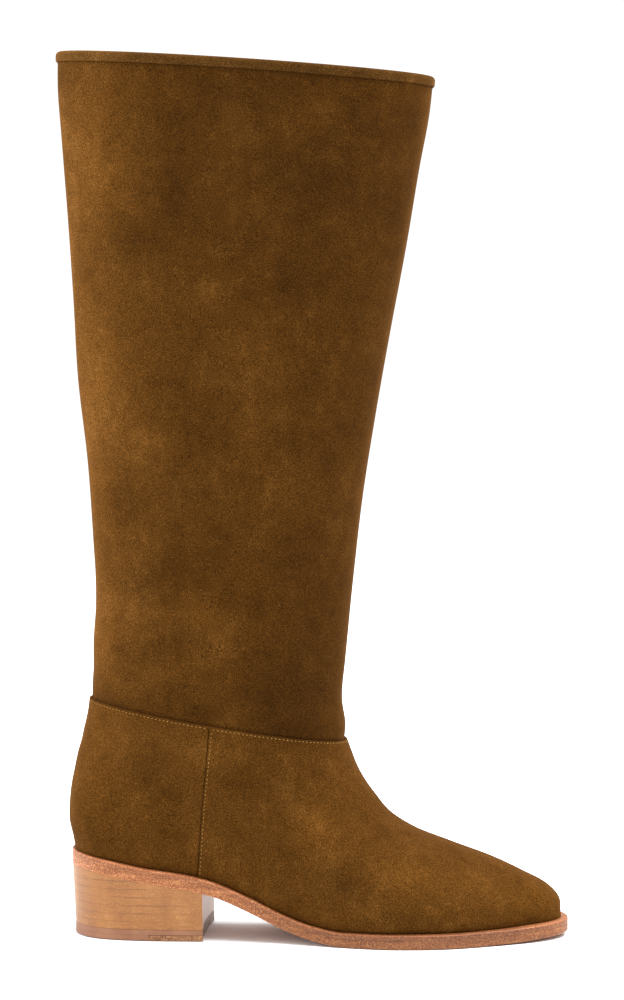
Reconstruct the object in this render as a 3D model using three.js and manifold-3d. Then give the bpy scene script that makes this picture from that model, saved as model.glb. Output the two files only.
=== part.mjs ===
// A knee-high pull-on boot for the right foot: suede upper, leather welt and sole, stacked block heel.
// Millimetres. +X runs from heel to toe, +Z is up and -Y is the outer side of the foot.
// The boot is drawn with its sole's back edge at x = 0 and the floor at z = 0. At the end the whole
// group is moved so that the origin lies on the floor under the middle of its bounding box.

import * as THREE from "three";
import Module from "manifold-3d";
import { mergeVertices } from "three/addons/utils/BufferGeometryUtils.js";

const wasm = await Module();
wasm.setup();

// Sole
const SOLE_LENGTH = 266.5;
const BALL_WIDTH = 88;
const HEEL_END_RADIUS = 31;
const TOE_END_RADIUS = 18; // outer side
const TOE_END_INNER_RADIUS = 34;
const TOE_SWING = 6; // how far the toe tip lies to the inner side of the heel's centre
const TOE_SPRING = 2.2;
const OUTSOLE_THICKNESS = 4.2;
const WELT_THICKNESS = 3;
const EDGE_BEVEL = 0.7;
const INSOLE_RISE = 2.5; // the insole's top above the welt's

// Heel
const HEEL_HEIGHT = 38.2; // floor to the sole's underside at the back
const HEEL_LENGTH = 73.4;
const HEEL_TAPER = 1.6;
const BREAST_HOLLOW = 1.6;
const LIFT_THICKNESS = 5.8;
const INSERT_THICKNESS = 2.8;
const INSERT_START = 44.5;

// Upper
const UPPER_WALL = 2.2;
const OVERLAY_THICKNESS = 1.2;
const SEAM_LAP = 0.8; // how much prouder the vamp's edge is where it laps over the counter
const WELT_MARGIN = 3.7; // how far the welt shows past the vamp and counter
const HEEL_TUCK = 2.2; // how much less it shows behind the heel
const COUNTER_BULGE = 3;
const SIDE_SEAM_AT_SOLE = 70.7;
const SIDE_SEAM_AT_ANKLE = 78.6;
const ANKLE_INSET = 8; // the ankle's back edge in front of the upper's back edge at the welt
const ANKLE_LENGTH = 135.6;
const ANKLE_WIDTH = 78;
const ANKLE_RISE = 81.2; // the heel seat to the ankle seam, at the back
const ANKLE_SEAM_DROP = 22; // how much lower the ankle seam is at the front
const ANKLE_SEAM_CROWN = 0.4; // how much its sides rise over a straight line from back to front
const SHAFT_HEIGHT = 342.9;
const COLLAR_LENGTH = 199.2;
const COLLAR_WIDTH = 92;
const COLLAR_OVERHANG = 16.8; // how far the collar's back edge lies behind the ankle's
const COLLAR_DROP = 13.9;
const COLLAR_CROWN = 0.5; // the same for the collar's sides
const BINDING_HEIGHT = 4.3;
const BINDING_THICKNESS = 0.8;

const GAP = 0.3; // between pieces that touch

// Facets
const COUNTER_COLUMNS = 10;
const VAMP_COLUMNS = 14;
const HEEL_COLUMNS = 14;
const BREAST_COLUMNS = 3;

// Half widths of the sole from its centreline, as shares of BALL_WIDTH, at shares of its length.
const OUTLINE = [
  { at: 0.14, outer: 0.352, inner: 0.352 },
  { at: 0.3, outer: 0.35, inner: 0.322 },
  { at: 0.42, outer: 0.372, inner: 0.3 },
  { at: 0.55, outer: 0.455, inner: 0.372 },
  { at: 0.66, outer: 0.518, inner: 0.458 },
  { at: 0.77, outer: 0.488, inner: 0.446 },
  { at: 0.88, outer: 0.358, inner: 0.345 },
  { at: 0.95, outer: 0.24, inner: 0.256 },
];

// Height of the sole's underside at shares of its length: heel seat and arch as shares of
// HEEL_HEIGHT, then the toe as a share of TOE_SPRING.
const UNDERSIDE = [
  { at: 0, heel: 1, toe: 0 },
  { at: 0.07, heel: 0.925, toe: 0 },
  { at: 0.15, heel: 0.82, toe: 0 },
  { at: 0.25, heel: 0.712, toe: 0 },
  { at: 0.3, heel: 0.62, toe: 0 },
  { at: 0.37, heel: 0.42, toe: 0 },
  { at: 0.44, heel: 0.19, toe: 0 },
  { at: 0.5, heel: 0.06, toe: 0 },
  { at: 0.56, heel: 0, toe: 0 },
  { at: 0.78, heel: 0, toe: 0 },
  { at: 0.88, heel: 0, toe: 0.2 },
  { at: 1, heel: 0, toe: 1 },
];

// Levels of the upper from the welt to the ankle seam. backUp and frontUp are shares of the way up,
// bulge is a share of COUNTER_BULGE, lean of ANKLE_INSET, and recess of the way from the toe to the
// front of the ankle. heelSwell and toeSwell widen the sole's shape, oval turns it into the ankle's
// oval, whose width is a share of ANKLE_WIDTH, sole is how far the level still follows the sole's
// curve, and swing how much of TOE_SWING its nose keeps.
const FOOT_LEVELS = [
  { backUp: 0, frontUp: 0, bulge: 0, lean: 0, recess: 0, heelSwell: 0, toeSwell: 0, oval: 0, width: 0.9,
    sole: 1, swing: 1 },
  { backUp: 0.085, frontUp: 0.043, bulge: 0.41, lean: 0, recess: 0.002, heelSwell: 0.09, toeSwell: 0.05,
    oval: 0, width: 0.9, sole: 0.98, swing: 1 },
  { backUp: 0.185, frontUp: 0.101, bulge: 1, lean: 0, recess: 0.008, heelSwell: 0.15, toeSwell: 0.06,
    oval: 0.02, width: 0.9, sole: 0.93, swing: 1 },
  { backUp: 0.295, frontUp: 0.166, bulge: 1, lean: 0, recess: 0.06, heelSwell: 0.17, toeSwell: 0.05,
    oval: 0.1, width: 0.9, sole: 0.85, swing: 1 },
  { backUp: 0.41, frontUp: 0.223, bulge: 0.705, lean: 0, recess: 0.15, heelSwell: 0.17, toeSwell: 0.02,
    oval: 0.28, width: 0.91, sole: 0.74, swing: 1 },
  { backUp: 0.52, frontUp: 0.302, bulge: 0.135, lean: 0, recess: 0.29, heelSwell: 0.16, toeSwell: 0,
    oval: 0.52, width: 0.92, sole: 0.6, swing: 1 },
  { backUp: 0.63, frontUp: 0.388, bulge: 0, lean: 0.185, recess: 0.489, heelSwell: 0.15, toeSwell: 0,
    oval: 0.75, width: 0.93, sole: 0.45, swing: 0.95 },
  { backUp: 0.72, frontUp: 0.468, bulge: 0, lean: 0.45, recess: 0.661, heelSwell: 0.15, toeSwell: 0,
    oval: 0.9, width: 0.945, sole: 0.3, swing: 0.8 },
  { backUp: 0.78, frontUp: 0.562, bulge: 0, lean: 0.58, recess: 0.785, heelSwell: 0.15, toeSwell: 0,
    oval: 0.96, width: 0.955, sole: 0.22, swing: 0.65 },
  { backUp: 0.85, frontUp: 0.68, bulge: 0, lean: 0.753, recess: 0.866, heelSwell: 0.15, toeSwell: 0,
    oval: 1, width: 0.97, sole: 0.14, swing: 0.45 },
  { backUp: 0.925, frontUp: 0.835, bulge: 0, lean: 0.906, recess: 0.946, heelSwell: 0.15, toeSwell: 0,
    oval: 1, width: 0.985, sole: 0.05, swing: 0.2 },
  { backUp: 1, frontUp: 1, bulge: 0, lean: 1, recess: 1, heelSwell: 0.15, toeSwell: 0, oval: 1, width: 1,
    sole: 0, swing: 0 },
];

// Levels of the shaft above the ankle seam. up is a share of the way to the collar, and back, front
// and width are shares of the way from the ankle's size and place to the collar's.
const SHAFT_LEVELS = [
  { up: 0.022, back: -0.006, front: 0.014, width: 0 },
  { up: 0.06, back: -0.025, front: -0.024, width: 0 },
  { up: 0.12, back: -0.087, front: 0.012, width: 0.04 },
  { up: 0.18, back: -0.125, front: 0.052, width: 0.1 },
  { up: 0.25, back: -0.05, front: 0.105, width: 0.2 },
  { up: 0.37, back: 0.113, front: 0.208, width: 0.45 },
  { up: 0.5, back: 0.41, front: 0.36, width: 0.7 },
  { up: 0.62, back: 0.54, front: 0.518, width: 0.9 },
  { up: 0.75, back: 0.71, front: 0.7, width: 1.04 },
  { up: 0.87, back: 0.893, front: 0.85, width: 1.06 },
  { up: 0.95, back: 1.006, front: 0.96, width: 1.03 },
  { up: 1, back: 1, front: 1, width: 1 },
];
const ANKLE_FULLNESS = 0.97; // 1 is an ellipse, and less has flatter sides
const COLLAR_FULLNESS = 0.84;

const FEATHER_INSET = WELT_MARGIN + OVERLAY_THICKNESS + GAP;
const SEAM_COLUMN = COUNTER_COLUMNS;
const COLUMNS = 2 * (COUNTER_COLUMNS + VAMP_COLUMNS);
const lerp = THREE.MathUtils.lerp;

// One column of a table at a place between its rows, on a smooth curve with no overshoot.
function between(rows, column, at) {
  const last = rows.length - 1;
  const slope = (k) => (rows[k + 1][column] - rows[k][column]) / (rows[k + 1].at - rows[k].at);
  const tangent = (k) => {
    if (k === 0) return slope(0);
    if (k === last) return slope(last - 1);
    const before = slope(k - 1);
    const after = slope(k);
    return before * after <= 0 ? 0 : (2 * before * after) / (before + after);
  };
  let k = 0;
  while (k < last - 1 && at > rows[k + 1].at) k++;
  const span = rows[k + 1].at - rows[k].at;
  const s = THREE.MathUtils.clamp((at - rows[k].at) / span, 0, 1);
  const ease = s * s * (3 - 2 * s);
  const ends = lerp(rows[k][column], rows[k + 1][column], ease);
  return ends + span * s * (1 - s) * ((1 - s) * tangent(k) - s * tangent(k + 1));
}

// Where an angle round a loop lies along its length: 0 at the back, 1 at the front.
const shareAt = (angle) => (1 - Math.cos(angle)) / 2;
const angleAt = (share) => Math.acos(1 - 2 * share);
const sideOf = (angle) => (angle < Math.PI ? -1 : 1);

// The sole's half width on one side, at a share of its length once it is drawn in by an inset.
function soleHalfWidth(at, side, inset) {
  const roundness = (share) => 2 * Math.sqrt(Math.max(share * (1 - share), 0));
  const end = (radius) => Math.sqrt(((radius - inset) * (SOLE_LENGTH - 2 * inset)) / 2);
  const column = side < 0 ? "outer" : "inner";
  const toeRadius = side < 0 ? TOE_END_RADIUS : TOE_END_INNER_RADIUS;
  const rows = [
    { at: 0, full: end(HEEL_END_RADIUS) },
    ...OUTLINE.map((row) => ({ at: row.at, full: (row[column] * BALL_WIDTH - inset) / roundness(row.at) })),
    { at: 1, full: end(toeRadius) },
  ];
  return between(rows, "full", at) * roundness(at);
}

const centreline = (at) => TOE_SWING * THREE.MathUtils.smoothstep(at, 0.45, 1);
const soleUnderside = (x) => {
  const at = THREE.MathUtils.clamp(x / SOLE_LENGTH, 0, 1);
  return HEEL_HEIGHT * between(UNDERSIDE, "heel", at) + TOE_SPRING * between(UNDERSIDE, "toe", at);
};
const outsoleTop = (x) => soleUnderside(x) + OUTSOLE_THICKNESS;
const weltTop = (x) => outsoleTop(x) + GAP + WELT_THICKNESS;
const featherLine = (x) => weltTop(x) + GAP;

// Angles of the columns round a loop whose side seam lies at a given angle.
function columnAngles(seamAngle) {
  const half = [];
  for (let i = 0; i < COUNTER_COLUMNS; i++) half.push((seamAngle * i) / COUNTER_COLUMNS);
  for (let i = 0; i <= VAMP_COLUMNS; i++) {
    half.push(lerp(seamAngle, Math.PI, i / VAMP_COLUMNS));
  }
  const back = half.slice(1, -1).map((angle) => 2 * Math.PI - angle);
  return [...half, ...back.reverse()];
}

// A loop round the sole's outline, drawn in by an inset, at a height that follows x. Behind the heel,
// what the upper's edge sits on is drawn in less.
function soleLoop(inset, heightAt) {
  const back = inset > WELT_MARGIN / 2 ? inset - HEEL_TUCK : inset;
  const front = SOLE_LENGTH - inset;
  const seamAngle = angleAt((SIDE_SEAM_AT_SOLE - back) / (front - back));
  return columnAngles(seamAngle).map((angle) => {
    const at = shareAt(angle);
    const side = sideOf(angle);
    const x = lerp(back, front, at);
    return new THREE.Vector3(x, centreline(at) + side * soleHalfWidth(at, side, inset), heightAt(x));
  });
}

// A loop round the heel: the sole's outline up to the breast, and then across it.
function heelLoop(inset, heightAt) {
  const breastX = HEEL_LENGTH;
  const length = SOLE_LENGTH - 2 * inset;
  const breastAngle = angleAt((breastX - inset) / length);
  const half = [];
  for (let i = 0; i <= HEEL_COLUMNS; i++) {
    const at = shareAt((breastAngle * i) / HEEL_COLUMNS);
    half.push([inset + length * at, soleHalfWidth(at, -1, inset)]);
  }
  const corner = half[HEEL_COLUMNS][1];
  for (let i = 1; i <= BREAST_COLUMNS; i++) {
    const across = 1 - i / BREAST_COLUMNS;
    half.push([breastX - BREAST_HOLLOW * (1 - across * across), corner * across]);
  }
  const outer = half.map(([x, y]) => new THREE.Vector3(x, -y, heightAt(x)));
  const inner = half.slice(1, -1).map(([x, y]) => new THREE.Vector3(x, y, heightAt(x)));
  return [...outer, ...inner.reverse()];
}

// Triangles between rows of points. Rows from turnAt on run back, so their quads split the other way,
// which keeps facing layers parallel.
function bands(rows, closeRows, closeColumns, turnAt) {
  const columns = rows[0].length;
  const id = (row, column) => (row % rows.length) * columns + (column % columns);
  const index = [];
  for (let r = 0; r < (closeRows ? rows.length : rows.length - 1); r++) {
    for (let c = 0; c < (closeColumns ? columns : columns - 1); c++) {
      const [a, b, d, e] = [id(r, c), id(r, c + 1), id(r + 1, c + 1), id(r + 1, c)];
      if (r < turnAt) index.push(a, b, d, a, d, e);
      else index.push(a, b, e, b, d, e);
    }
  }
  return index;
}

// Triangles between two lists of vertex numbers that run side by side. Shared ends are skipped.
function strip(left, right) {
  const index = [];
  for (let i = 0; i + 1 < left.length; i++) {
    if (left[i] !== right[i]) index.push(left[i], right[i], right[i + 1]);
    if (left[i + 1] !== right[i + 1]) index.push(left[i], right[i + 1], left[i + 1]);
  }
  return index;
}

function geometryOf(rows, index) {
  const geometry = new THREE.BufferGeometry();
  const numbers = rows.flat().flatMap((point) => point.toArray());
  geometry.setAttribute("position", new THREE.Float32BufferAttribute(numbers, 3));
  return geometry.setIndex(index);
}

// A closed band round the boot: rows run up its outside and down its inside.
function ringGeometry(outside, inside) {
  const rows = [...outside, ...inside.toReversed()];
  return geometryOf(rows, bands(rows, true, true, outside.length));
}

// A patch of a shell, with its two side edges closed.
function panelGeometry(outside, inside) {
  const rows = [...outside, ...inside.toReversed()];
  const columns = rows[0].length;
  const edge = (column) => {
    const ids = rows.map((_, row) => row * columns + column);
    return [ids.slice(0, outside.length), ids.slice(outside.length).reverse()];
  };
  const [firstOut, firstIn] = edge(0);
  const [lastOut, lastIn] = edge(columns - 1);
  return geometryOf(rows, [
    ...bands(rows, true, false, outside.length),
    ...strip(firstIn, firstOut),
    ...strip(lastOut, lastIn),
  ]);
}

// A solid of loops stacked from the bottom up, whose point i faces point n - i across the boot.
function stackGeometry(loops) {
  const n = loops[0].length;
  const pairs = (base) => {
    const near = Array.from({ length: n / 2 + 1 }, (_, i) => base + i);
    const far = near.map((_, i) => base + ((n - i) % n));
    return [near, far];
  };
  const [bottomNear, bottomFar] = pairs(0);
  const [topNear, topFar] = pairs((loops.length - 1) * n);
  return geometryOf(loops, [
    ...bands(loops, false, true, loops.length),
    ...strip(bottomNear, bottomFar),
    ...strip(topFar, topNear),
  ]);
}

// Outline and height of the upper's outer surface, before any overlay.
const seatBack = { x: FEATHER_INSET - HEEL_TUCK, z: featherLine(FEATHER_INSET - HEEL_TUCK) };
const seatFront = { x: SOLE_LENGTH - FEATHER_INSET, z: featherLine(SOLE_LENGTH - FEATHER_INSET) };
const ankleBack = { x: seatBack.x + ANKLE_INSET, z: seatBack.z + ANKLE_RISE };
const ankleFront = { x: ankleBack.x + ANKLE_LENGTH, z: ankleBack.z - ANKLE_SEAM_DROP };
const collarBack = { x: ankleBack.x - COLLAR_OVERHANG, z: ankleBack.z + SHAFT_HEIGHT };
const collarFront = { x: collarBack.x + COLLAR_LENGTH, z: collarBack.z - COLLAR_DROP };

// How far the sole's curve lies below a straight line from heel to toe, at a share of its length.
function soleSag(at) {
  return featherLine(lerp(seatBack.x, seatFront.x, at)) - lerp(seatBack.z, seatFront.z, at);
}

// How far the ankle seam rises at an angle round the leg.
const ankleCrown = (angle) => ANKLE_SEAM_CROWN * Math.sin(angle) ** 2;

function footLevel(row) {
  const back = {
    x: seatBack.x - COUNTER_BULGE * row.bulge + ANKLE_INSET * row.lean,
    z: lerp(seatBack.z, ankleBack.z, row.backUp),
  };
  const front = {
    x: lerp(seatFront.x, ankleFront.x, row.recess),
    z: lerp(seatFront.z, ankleFront.z, row.frontUp),
  };
  const height = (row.backUp + row.frontUp) / 2;
  const seamX = lerp(SIDE_SEAM_AT_SOLE, SIDE_SEAM_AT_ANKLE, height);
  const seamAngle = angleAt((seamX - back.x) / (front.x - back.x));
  return columnAngles(seamAngle).map((angle) => {
    const at = shareAt(angle);
    const side = sideOf(angle);
    const swell = 1 + lerp(row.heelSwell, row.toeSwell, at);
    const foot = soleHalfWidth(at, side, FEATHER_INSET) * swell;
    const oval = (ANKLE_WIDTH / 2) * row.width * Math.abs(Math.sin(angle)) ** ANKLE_FULLNESS;
    return new THREE.Vector3(
      lerp(back.x, front.x, at),
      centreline(at) * row.swing + side * lerp(foot, oval, row.oval),
      lerp(back.z, front.z, at) + row.sole * soleSag(at) + (1 - row.sole) * ankleCrown(angle),
    );
  });
}

function shaftLevel(row) {
  const back = lerp(ankleBack.x, collarBack.x, row.back);
  const front = lerp(ankleFront.x, collarFront.x, row.front);
  const halfWidth = lerp(ANKLE_WIDTH, COLLAR_WIDTH, row.width) / 2;
  const fullness = lerp(ANKLE_FULLNESS, COLLAR_FULLNESS, row.up);
  const backZ = lerp(ankleBack.z, collarBack.z, row.up);
  const frontZ = lerp(ankleFront.z, collarFront.z, row.up);
  const crown = (angle) => COLLAR_CROWN * row.up * Math.sin(angle) ** 2;
  const seamAngle = angleAt((SIDE_SEAM_AT_ANKLE - ankleBack.x) / ANKLE_LENGTH);
  return columnAngles(seamAngle).map((angle) => {
    const at = shareAt(angle);
    const across = Math.abs(Math.sin(angle)) ** fullness;
    return new THREE.Vector3(
      lerp(back, front, at),
      sideOf(angle) * halfWidth * across,
      lerp(backZ, frontZ, at) + crown(angle) + (1 - row.up) * ankleCrown(angle),
    );
  });
}

const GRID = [...FOOT_LEVELS.map(footLevel), ...SHAFT_LEVELS.map(shaftLevel)];
const ANKLE_LEVEL = FOOT_LEVELS.length - 1;
const COLLAR_LEVEL = GRID.length - 1;

// Outward direction of the surface at each point of the grid, level at the welt and the collar.
const NORMALS = GRID.map((loop, level) =>
  loop.map((_, i) => {
    const along = loop[(i + 1) % COLUMNS].clone().sub(loop[(i + COLUMNS - 1) % COLUMNS]);
    const above = GRID[Math.min(level + 1, COLLAR_LEVEL)][i];
    const below = GRID[Math.max(level - 1, 0)][i];
    const normal = along.cross(above.clone().sub(below)).normalize();
    if (level === 0 || level === COLLAR_LEVEL) normal.setZ(0).normalize();
    return normal;
  }),
);

// One loop of the upper's surface moved outwards. At the welt it keeps to the sole's own outline.
function offsetLevel(level, distance) {
  if (level === 0) return soleLoop(FEATHER_INSET - distance, featherLine);
  return GRID[level].map((point, i) => point.clone().addScaledVector(NORMALS[level][i], distance));
}

function offsetLevels(from, to, distance) {
  const levels = [];
  for (let level = from; level <= to; level++) levels.push(offsetLevel(level, distance));
  return levels;
}

const parts = new THREE.Group();

function addPart(name, geometry, colour, roughness) {
  const material = new THREE.MeshStandardMaterial({ color: colour, roughness, metalness: 0 });
  const mesh = new THREE.Mesh(geometry, material);
  mesh.name = name;
  parts.add(mesh);
}

const SUEDE = 0x6d4a1e;
const SUEDE_EDGE = 0x76522a;
const SOLE_LEATHER = 0xb9764e;
const WELT_LEATHER = 0xc48a62;
const SOCK_LEATHER = 0xc9a27a;
const HEEL_WOOD = 0xc6935a;
const LIFT_RUBBER = 0xad7c5c;

// Upper: shaft and lining in one hollow wall, open at the collar and underneath.
function addUpper() {
  const outside = offsetLevels(0, COLLAR_LEVEL, 0);
  const inside = offsetLevels(0, COLLAR_LEVEL, -UPPER_WALL);
  addPart("upper", ringGeometry(outside, inside), SUEDE, 0.95);
}

// Counter: wraps the heel from side seam to side seam, a gap short of the vamp's edges.
function addCounter() {
  const pick = (loop) => {
    const columns = [...loop.slice(-SEAM_COLUMN), ...loop.slice(0, SEAM_COLUMN + 1)];
    const shorten = (edge, next) => edge.clone().lerp(next, GAP / edge.distanceTo(next));
    const last = columns.length - 1;
    return columns.map((point, i) => {
      if (i === 0) return shorten(point, columns[1]);
      if (i === last) return shorten(point, columns[last - 1]);
      return point;
    });
  };
  const outside = offsetLevels(0, ANKLE_LEVEL, GAP + OVERLAY_THICKNESS).map(pick);
  const inside = offsetLevels(0, ANKLE_LEVEL, GAP).map(pick);
  addPart("counter", panelGeometry(outside, inside), SUEDE, 0.95);
}

// Vamp: covers the front of the foot, and stands prouder along the edges that lap over the counter.
function addVamp() {
  const pick = (loop) => loop.slice(SEAM_COLUMN, COLUMNS - SEAM_COLUMN + 1);
  const plain = offsetLevels(0, ANKLE_LEVEL, GAP + OVERLAY_THICKNESS).map(pick);
  const proud = offsetLevels(0, ANKLE_LEVEL, GAP + OVERLAY_THICKNESS + SEAM_LAP).map(pick);
  const outside = plain.map((row, level) =>
    row.map((point, i) => (i === 0 || i === row.length - 1 ? proud[level][i] : point)),
  );
  const inside = offsetLevels(0, ANKLE_LEVEL, GAP).map(pick);
  addPart("vamp", panelGeometry(outside, inside), SUEDE, 0.95);
}

// Collar binding: a strip folded over the shaft's top edge.
function addCollarBinding() {
  const top = GRID[COLLAR_LEVEL];
  const under = GRID[COLLAR_LEVEL - 1];
  const outerFace = GAP + BINDING_THICKNESS;
  const innerFace = -UPPER_WALL - GAP - BINDING_THICKNESS;
  const rise = GAP + BINDING_THICKNESS;
  const row = (offset, up) =>
    top.map((point, i) => {
      const along = point.clone().sub(under[i]).normalize();
      return point.clone().addScaledVector(along, up).addScaledVector(NORMALS[COLLAR_LEVEL][i], offset);
    });
  const outside = [
    row(GAP, -BINDING_HEIGHT),
    row(outerFace, -BINDING_HEIGHT),
    row(outerFace, rise / 2),
    row((outerFace + innerFace) / 2, rise),
  ];
  const inside = [
    row(GAP, GAP),
    row(-UPPER_WALL - GAP, GAP),
    row(-UPPER_WALL - GAP, -BINDING_HEIGHT),
    row(innerFace, -BINDING_HEIGHT),
    row(innerFace, rise / 2),
  ];
  addPart("collar_binding", ringGeometry(outside, inside), SUEDE_EDGE, 0.9);
}

// Welt: a leather strip between the upper's edge and the outsole, with a bevelled top edge.
function addWelt() {
  const bottom = (x) => outsoleTop(x) + GAP;
  const innerInset = FEATHER_INSET + UPPER_WALL;
  const outside = [
    soleLoop(0, bottom),
    soleLoop(0, (x) => weltTop(x) - EDGE_BEVEL),
    soleLoop(EDGE_BEVEL, weltTop),
  ];
  const inside = [soleLoop(innerInset, bottom), soleLoop(innerInset, weltTop)];
  addPart("welt", ringGeometry(outside, inside), WELT_LEATHER, 0.55);
}

// Outsole: one leather plate from heel seat to toe, flat on the floor under the ball. Its lower edge is
// flush with the heel block, and bevelled in front of it.
function addOutsole() {
  const bevelled = soleLoop(EDGE_BEVEL, soleUnderside);
  const flush = soleLoop(0, soleUnderside);
  const loops = [
    flush.map((point, i) => (point.x < HEEL_LENGTH ? point : bevelled[i])),
    soleLoop(0, (x) => soleUnderside(x) + EDGE_BEVEL),
    soleLoop(0, outsoleTop),
  ];
  addPart("outsole", stackGeometry(loops), SOLE_LEATHER, 0.55);
}

// Insole: lies on the outsole inside the welt and the upper.
function addInsole() {
  const inset = FEATHER_INSET + UPPER_WALL + GAP;
  const top = (x) => weltTop(x) + INSOLE_RISE;
  const loops = [
    soleLoop(inset, (x) => outsoleTop(x) + GAP),
    soleLoop(inset, (x) => top(x) - EDGE_BEVEL),
    soleLoop(inset + EDGE_BEVEL, top),
  ];
  addPart("insole", stackGeometry(loops), SOCK_LEATHER, 0.7);
}

// Heel block: tapers a little from the sole's underside down to the lift.
function addHeelBlock() {
  const bottom = () => LIFT_THICKNESS + GAP;
  const top = (x) => soleUnderside(x) - GAP;
  const loops = [heelLoop(HEEL_TAPER, bottom), heelLoop(0, top)];
  addPart("heel_block", stackGeometry(loops), HEEL_WOOD, 0.5);
}

function solidOf(geometry) {
  const bare = new THREE.BufferGeometry();
  bare.setAttribute("position", geometry.getAttribute("position"));
  const merged = mergeVertices(bare.setIndex(geometry.getIndex()));
  const vertProperties = merged.attributes.position.array;
  const triVerts = new Uint32Array(merged.index.array);
  return new wasm.Manifold(new wasm.Mesh({ numProp: 3, vertProperties, triVerts }));
}

function geometryOfSolid(solid) {
  const mesh = solid.getMesh();
  const geometry = new THREE.BufferGeometry();
  geometry.setAttribute("position", new THREE.BufferAttribute(mesh.vertProperties, 3));
  return geometry.setIndex(new THREE.BufferAttribute(mesh.triVerts, 1));
}

// A box from x to the breast and beyond, as wide as any heel, up to a height.
function heelBox(fromX, height) {
  const margin = BALL_WIDTH;
  const box = new THREE.BoxGeometry(HEEL_LENGTH + margin - fromX, 2 * margin, height + margin);
  box.translate((fromX + HEEL_LENGTH + margin) / 2, 0, (height - margin) / 2);
  return solidOf(box);
}

// Lift: the heel's rubber foot. Its front lower half is cut away for a leather insert.
function addLift() {
  const flat = (height) => () => height;
  const whole = (height) =>
    solidOf(stackGeometry([heelLoop(HEEL_TAPER, flat(0)), heelLoop(HEEL_TAPER, flat(height))]));
  const lift = whole(LIFT_THICKNESS).subtract(heelBox(INSERT_START, INSERT_THICKNESS + GAP));
  const insert = whole(INSERT_THICKNESS).intersect(heelBox(INSERT_START + GAP, INSERT_THICKNESS));
  addPart("heel_lift", geometryOfSolid(lift), LIFT_RUBBER, 0.6);
  addPart("heel_insert", geometryOfSolid(insert), SOLE_LEATHER, 0.7);
}

addUpper();
addCounter();
addVamp();
addCollarBinding();
addWelt();
addOutsole();
addInsole();
addHeelBlock();
addLift();

// The origin goes to the floor under the middle of the bounding box.
const bounds = new THREE.Box3().setFromObject(parts);
const centre = bounds.getCenter(new THREE.Vector3());
parts.position.set(-centre.x, -centre.y, -bounds.min.z);

export default parts;
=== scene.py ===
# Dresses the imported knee-high boot: suede and leather surfaces, seams, stitches and soft light.
# Sizes are in millimetres, with the sole's back edge at x = 0. The pieces are then moved into the
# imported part's frame, in metres: +X from heel to toe, -Y the outer side, +Z up.

import math

import bpy
import numpy as np
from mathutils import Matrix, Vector


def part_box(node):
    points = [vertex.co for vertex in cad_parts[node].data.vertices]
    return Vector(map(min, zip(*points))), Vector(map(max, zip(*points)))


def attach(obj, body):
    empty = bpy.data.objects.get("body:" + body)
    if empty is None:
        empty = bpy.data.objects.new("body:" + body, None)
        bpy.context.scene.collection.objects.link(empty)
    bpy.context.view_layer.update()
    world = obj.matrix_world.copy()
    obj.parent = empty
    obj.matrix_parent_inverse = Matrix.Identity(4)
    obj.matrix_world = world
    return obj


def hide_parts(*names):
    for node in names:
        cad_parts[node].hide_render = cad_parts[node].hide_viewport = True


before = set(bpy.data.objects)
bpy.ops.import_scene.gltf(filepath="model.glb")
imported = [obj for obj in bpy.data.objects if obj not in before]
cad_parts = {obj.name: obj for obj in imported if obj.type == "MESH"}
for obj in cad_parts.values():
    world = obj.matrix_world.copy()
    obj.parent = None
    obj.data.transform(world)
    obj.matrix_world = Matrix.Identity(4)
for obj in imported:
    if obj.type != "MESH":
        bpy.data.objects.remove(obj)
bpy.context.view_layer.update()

MM = 0.001

# Sizes of the boot
SOLE_LENGTH = 266.5
BALL_WIDTH = 88
HEEL_END_RADIUS = 31
TOE_END_RADIUS = 18
TOE_END_INNER_RADIUS = 34
TOE_SWING = 6
TOE_SWING_START = 0.45  # share of the sole's length
TOE_SPRING = 2.2
OUTSOLE_THICKNESS = 4.2
WELT_THICKNESS = 3
INSOLE_RISE = 2.5
HEEL_HEIGHT = 38.2
HEEL_LENGTH = 73.4
HEEL_TAPER = 1.6
BREAST_HOLLOW = 1.6
LIFT_THICKNESS = 5.8
INSERT_THICKNESS = 2.8
INSERT_START = 44.5
UPPER_WALL = 2.2
OVERLAY_THICKNESS = 1.2
SEAM_LAP = 0.8
WELT_MARGIN = 3.7
HEEL_TUCK = 2.2
COUNTER_BULGE = 3
SIDE_SEAM_AT_SOLE = 70.7
SIDE_SEAM_AT_ANKLE = 78.6
ANKLE_INSET = 8
ANKLE_LENGTH = 135.6
ANKLE_WIDTH = 78
ANKLE_RISE = 81.2
ANKLE_SEAM_DROP = 22
ANKLE_SEAM_CROWN = 0.4
SHAFT_HEIGHT = 342.9
COLLAR_LENGTH = 199.2
COLLAR_WIDTH = 92
COLLAR_OVERHANG = 16.8
COLLAR_DROP = 13.9
COLLAR_CROWN = 0.5
BINDING_HEIGHT = 4.3
BINDING_THICKNESS = 0.8
ANKLE_FULLNESS = 0.97
COLLAR_FULLNESS = 0.84
GAP = 0.3
FEATHER_INSET = WELT_MARGIN + OVERLAY_THICKNESS + GAP

# The frame's origin is under the middle of the box, and the sole's back edge is the outsole's lowest x.
BACK_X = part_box("outsole")[0].x / MM

# Half widths of the sole, as shares of BALL_WIDTH: share of the length, outer side, inner side
OUTLINE = [
    (0.14, 0.352, 0.352),
    (0.3, 0.35, 0.322),
    (0.42, 0.372, 0.3),
    (0.55, 0.455, 0.372),
    (0.66, 0.518, 0.458),
    (0.77, 0.488, 0.446),
    (0.88, 0.358, 0.345),
    (0.95, 0.24, 0.256),
]

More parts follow.
